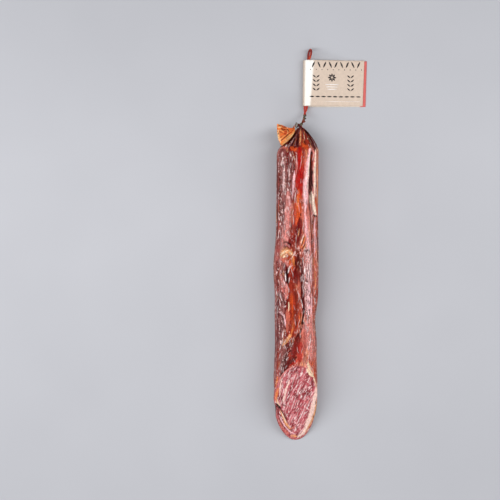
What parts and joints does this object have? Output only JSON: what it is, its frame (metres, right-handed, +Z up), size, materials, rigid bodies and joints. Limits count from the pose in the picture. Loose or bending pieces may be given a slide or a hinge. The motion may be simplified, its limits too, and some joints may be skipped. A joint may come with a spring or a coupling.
{
  "type": "cured pork loin",
  "caption": "Whole cured pork loin in its casing, cut on the slant at its tip, gathered to a wire clip at the other end, with a hanging cord and a folded card tag.",
  "frame": {"origin": "middle of the footprint of loin, casing fan and clip, on the surface that the part rests on", "axes": "+Y along the loin from the cut tip to the tied end, +X to the right of the shown side, +Z up, out of the shown side"},
  "size_m": [0.1353, 0.565, 0.0532],
  "materials": {
    "cased_meat": "wrinkled, half-glossy natural casing over dark red cured meat, with a bare marbled cut face",
    "dry_casing": "dry pleated casing, thin and slightly see-through",
    "clip_wire": "crimped wire, satin",
    "cord_yarn": "twisted yarn, dyed by the paprika",
    "tag_card": null
  },
  "bodies": {
    "root": {"loin": "cased_meat", "casing_fan": "dry_casing", "clip": "clip_wire", "cord_knot": "cord_yarn", "cord": "cord_yarn", "tag": "tag_card"}
  },
  "joints": []
}
